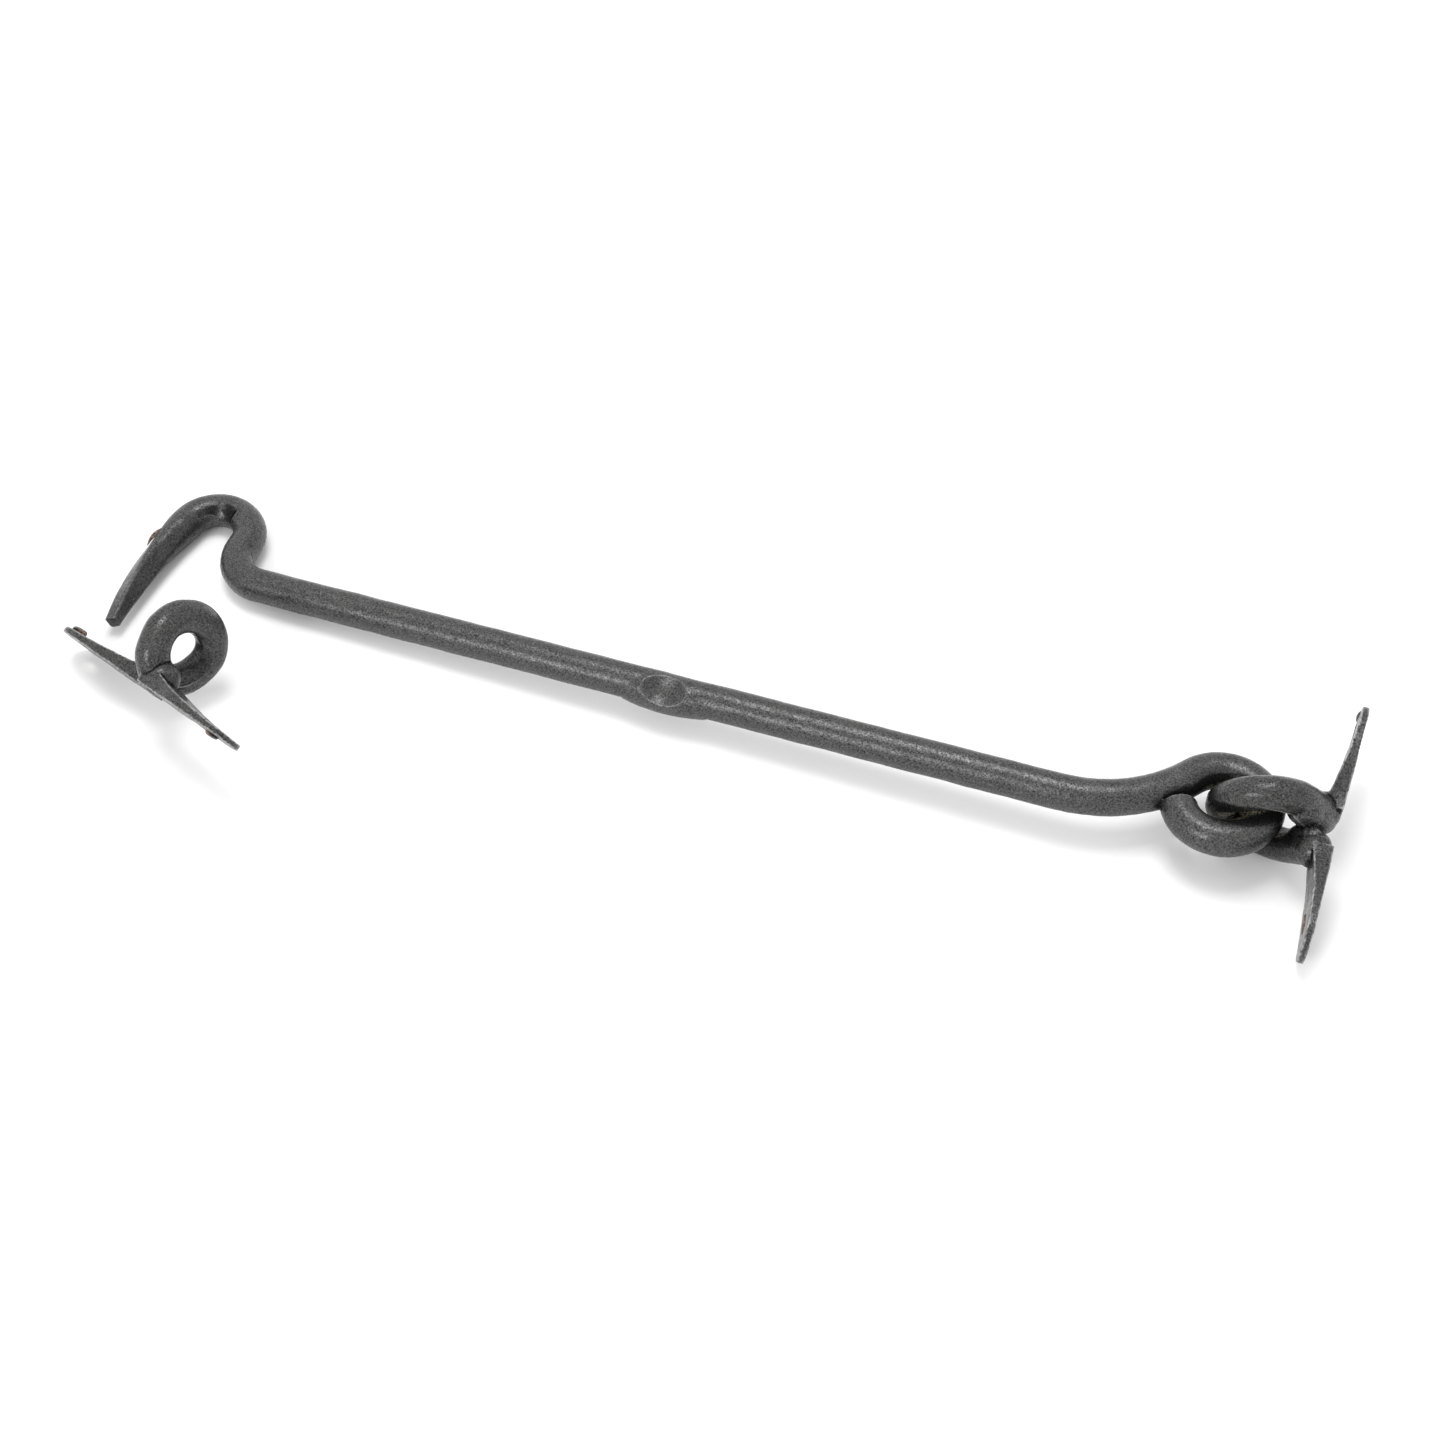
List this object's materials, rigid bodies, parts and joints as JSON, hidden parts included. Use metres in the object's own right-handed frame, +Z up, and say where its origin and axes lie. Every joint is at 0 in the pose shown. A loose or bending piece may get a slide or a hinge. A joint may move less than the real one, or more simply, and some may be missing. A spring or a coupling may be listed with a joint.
{
  "type": "cabin hook",
  "caption": "Hand-forged cabin hook: a round bar with a tapered hook bill and a rolled eye linked through a ring staple, with a loose keeper staple for the hook to drop into.",
  "frame": {"origin": "on the bench top under the middle of the whole group's box", "axes": "+X along the shank from the hook bill to the eye, +Y across it to the side that the hook's bend is on, +Z up from the bench"},
  "size_m": [0.3328, 0.1112, 0.0339],
  "materials": {
    "hook_black": "forged steel, satin black coat",
    "staple_black": "forged steel, satin black coat, bare brown burrs at the screw holes"
  },
  "bodies": {
    "pivot_staple": {"pivot_staple": "staple_black"},
    "hook_bar": {"hook_bar": "hook_black"},
    "keeper_staple": {"keeper_staple": "staple_black"}
  },
  "joints": [
    {"name": "hook_swing", "type": "hinge", "parent": "pivot_staple", "child": "hook_bar", "pos_m": [0.14812, 0.01969, 0.01502], "axis": [0.0012, 0.9823, 0.1874], "range_deg": [-90, 90]},
    {"name": "keeper_place", "type": "slide", "parent": "pivot_staple", "child": "keeper_staple", "axis": [1, 0, 0], "range_m": [0, 0.06]}
  ]
}
